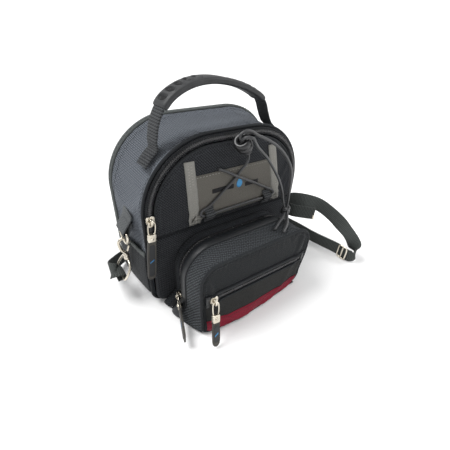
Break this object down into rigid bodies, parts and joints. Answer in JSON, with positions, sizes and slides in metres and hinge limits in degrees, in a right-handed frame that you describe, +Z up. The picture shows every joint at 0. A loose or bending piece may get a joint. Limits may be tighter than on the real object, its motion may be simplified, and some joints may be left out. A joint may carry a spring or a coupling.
{
  "type": "oxygen concentrator",
  "caption": "Portable oxygen concentrator in a padded carry bag with zipped flap, front pocket, laced cord lock, grip handle and clip-on shoulder strap.",
  "frame": {"origin": "middle of the base patch's underside, where the bag stands", "axes": "+X to the bag's left-hand side as it is worn on the back, that is to the right in a front view; -Y out of the front; +Z up"},
  "size_m": [0.3457, 0.2079, 0.2556],
  "materials": {
    "ballistic_fabric": "ballistic nylon weave, padded",
    "textured_fabric": "coarse ribbed nylon",
    "smooth_fabric": "smooth nylon",
    "mesh_fabric": "knitted mesh",
    "grey_fabric": "woven label fabric with zigzag stitching",
    "red_fabric": "smooth nylon",
    "webbing": "woven webbing",
    "grip_rubber": "moulded, satin",
    "zip_coil": "moulded coil on woven tape",
    "elastic_cord": "braided sleeve on elastic",
    "black_plastic": "satin",
    "hardware_metal": "pale nickel plate",
    "pull_rubber": "moulded, with a riveted metal clamp",
    "case_plastic": "fine spark texture",
    "dark_plastic": "satin",
    "aluminium": "machined and drawn",
    "circuit_board": "solder mask",
    "filter_foam": "open-cell foam"
  },
  "bodies": {
    "bag": {"main_gusset": "ballistic_fabric", "back_panel": "mesh_fabric", "base_panel": "textured_fabric", "lower_front_panel": "textured_fabric", "main_zip_coil": "zip_coil", "handle_anchor_left": "webbing", "handle_anchor_right": "webbing", "side_pocket_left": "mesh_fabric", "side_pocket_right": "mesh_fabric", "tab_left": "webbing", "tab_right": "webbing", "compression_tab": "webbing", "shoulder_strap": "webbing", "strap_slider": "hardware_metal", "pocket_gusset": "textured_fabric", "pocket_zip_coil": "zip_coil", "pocket_floor": "textured_fabric", "unit_case_rear": "case_plastic", "unit_case_front": "case_plastic", "battery_pack": "dark_plastic", "compressor": "aluminium", "sieve_bed_left": "aluminium", "sieve_bed_right": "aluminium", "valve_manifold": "dark_plastic", "control_board": "circuit_board", "intake_filter": "filter_foam", "outlet_barb": "hardware_metal", "lace_tail_near": "elastic_cord", "lace_tail_far": "elastic_cord", "lace_knot": "elastic_cord"},
    "flap": {"front_flap": "textured_fabric", "label_patch": "grey_fabric", "lace_loop_left": "webbing", "lace_loop_right": "webbing", "bungee_lace": "elastic_cord", "cord_lock": "black_plastic"},
    "lock_plunger": {"cord_lock_plunger": "black_plastic"},
    "pocket": {"pocket_shell": "smooth_fabric", "slit_zip_coil": "zip_coil", "red_trim": "red_fabric"},
    "main_zip_slider": {"main_slider": "hardware_metal"},
    "main_zip_pull": {"main_pull_link": "hardware_metal", "main_pull_tab": "pull_rubber"},
    "slit_zip_slider": {"slit_slider": "hardware_metal"},
    "slit_zip_pull": {"slit_pull_link": "hardware_metal", "slit_pull_tab": "pull_rubber"},
    "pocket_zip_slider": {"pocket_slider": "hardware_metal"},
    "pocket_zip_pull": {"pocket_pull_link": "hardware_metal", "pocket_pull_tab": "pull_rubber"},
    "handle": {"handle_webbing": "webbing", "handle_grip": "grip_rubber"},
    "hook_left": {"d_ring_left": "hardware_metal", "snap_hook_left": "hardware_metal"},
    "gate_left": {"hook_gate_left": "hardware_metal"},
    "hook_right": {"d_ring_right": "hardware_metal", "snap_hook_right": "hardware_metal"},
    "gate_right": {"hook_gate_right": "hardware_metal"},
    "fan": {"cooling_fan": "dark_plastic"},
    "power": {"power_button": "dark_plastic"},
    "flow": {"flow_button": "dark_plastic"}
  },
  "joints": [
    {"name": "flap_fold", "type": "hinge", "parent": "bag", "child": "flap", "pos_m": [0, -0.051, 0.102], "axis": [1, 0, 0], "range_deg": [0, 90], "deforming": ["lace_tail_near", "lace_tail_far"]},
    {"name": "pocket_open", "type": "hinge", "parent": "bag", "child": "pocket", "pos_m": [0, -0.107, 0.0025], "axis": [1, 0, 0], "range_deg": [0, 60], "deforming": ["lace_knot"]},
    {"name": "main_zip", "type": "hinge", "parent": "bag", "child": "main_zip_slider", "pos_m": [-0.028, -0.0418, 0.127], "axis": [0, 1, 0], "range_deg": [0, 90]},
    {"name": "main_pull_swing", "type": "hinge", "parent": "main_zip_slider", "child": "main_zip_pull", "pos_m": [-0.103, -0.046, 0.127], "axis": [-0.9954, 0, 0.0958], "range_deg": [0, 100]},
    {"name": "slit_zip", "type": "slide", "parent": "pocket", "child": "slit_zip_slider", "axis": [1, 0, 0], "range_m": [0, 0.13]},
    {"name": "slit_pull_swing", "type": "hinge", "parent": "slit_zip_slider", "child": "slit_zip_pull", "pos_m": [-0.066, -0.1144, 0.05], "axis": [-0.9781, 0, 0.2079], "range_deg": [-14, 60]},
    {"name": "pocket_zip", "type": "slide", "parent": "bag", "child": "pocket_zip_slider", "axis": [0, 0, 1], "range_m": [0, 0.036]},
    {"name": "pocket_pull_lift", "type": "hinge", "parent": "pocket_zip_slider", "child": "pocket_zip_pull", "pos_m": [-0.0853, -0.0577, 0.0209], "axis": [-0.9455, 0.3224, 0.0453], "range_deg": [0, 30]},
    {"name": "lock_press", "type": "slide", "parent": "flap", "child": "lock_plunger", "axis": [-0.62, -0.28, 0.733], "range_m": [0, 0.004], "stiffness_N_per_m": 150},
    {"name": "handle_tilt", "type": "hinge", "parent": "bag", "child": "handle", "pos_m": [0, -0.005, 0.1977], "axis": [0.9929, 0.1191, 0], "range_deg": [-20, 20]},
    {"name": "hook_swing_left", "type": "hinge", "parent": "bag", "child": "hook_left", "pos_m": [-0.122, 0, 0.098], "axis": [0, 1, 0], "range_deg": [0, 40], "deforming": ["shoulder_strap"]},
    {"name": "hook_swing_right", "type": "hinge", "parent": "bag", "child": "hook_right", "pos_m": [0.122, 0, 0.098], "axis": [0, -1, 0], "range_deg": [0, 40], "deforming": ["shoulder_strap"]},
    {"name": "gate_left", "type": "hinge", "parent": "hook_left", "child": "gate_left", "pos_m": [-0.1213, 0, 0.0651], "axis": [0, -1, 0], "range_deg": [0, 25], "stiffness_Nm_per_rad": 0.01},
    {"name": "gate_right", "type": "hinge", "parent": "hook_right", "child": "gate_right", "pos_m": [0.1213, 0, 0.0651], "axis": [0, 1, 0], "range_deg": [0, 25], "stiffness_Nm_per_rad": 0.01},
    {"name": "fan_spin", "type": "hinge", "parent": "bag", "child": "fan", "pos_m": [-0.038, -0.014, 0.146], "axis": [0, 1, 0], "continuous": true},
    {"name": "power_press", "type": "slide", "parent": "bag", "child": "power", "axis": [0, 1, 0], "range_m": [0, 0.0015], "stiffness_N_per_m": 250},
    {"name": "flow_press", "type": "slide", "parent": "bag", "child": "flow", "axis": [0, 1, 0], "range_m": [0, 0.0015], "stiffness_N_per_m": 250}
  ]
}
